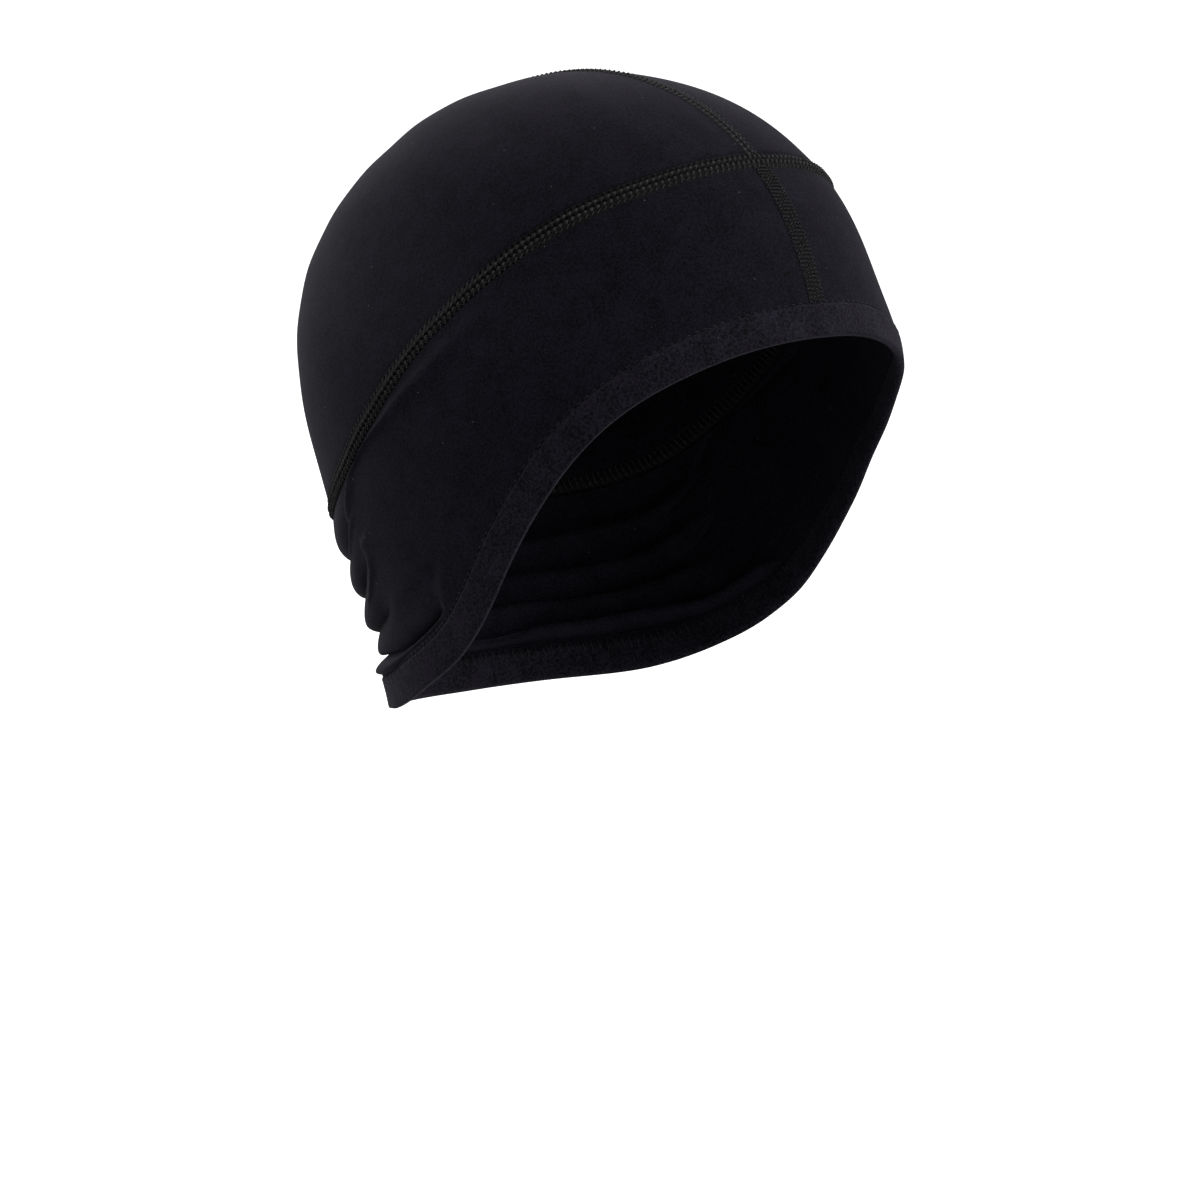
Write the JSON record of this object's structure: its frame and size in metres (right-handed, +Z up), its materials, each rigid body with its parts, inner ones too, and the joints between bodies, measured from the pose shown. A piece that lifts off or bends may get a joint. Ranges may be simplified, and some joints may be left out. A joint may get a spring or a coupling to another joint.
{
  "type": "helmet liner cap",
  "caption": "Close-fitting stretch skull cap worn under a helmet, deeper over the ears and nape, with flat seams and a turned hem round the face opening.",
  "frame": {"origin": "the spot inside the crown, on the middle plane, that rests on top of the head", "axes": "+Z up through the crown; the face looks towards -Y, the wearer's right is -X"},
  "size_m": [0.168, 0.1945, 0.1978],
  "materials": {
    "jersey": "smooth brushed stretch jersey, matt with a soft sheen",
    "hem_jersey": "the same jersey turned double, a little coarser to the eye",
    "thread": "flatlock seam of looped textured thread"
  },
  "bodies": {
    "root": {"crown_right": "jersey", "crown_left": "jersey", "band": "jersey", "hem": "hem_jersey", "crown_seam": "thread", "top_seam": "thread", "front_seam": "thread"}
  },
  "joints": []
}
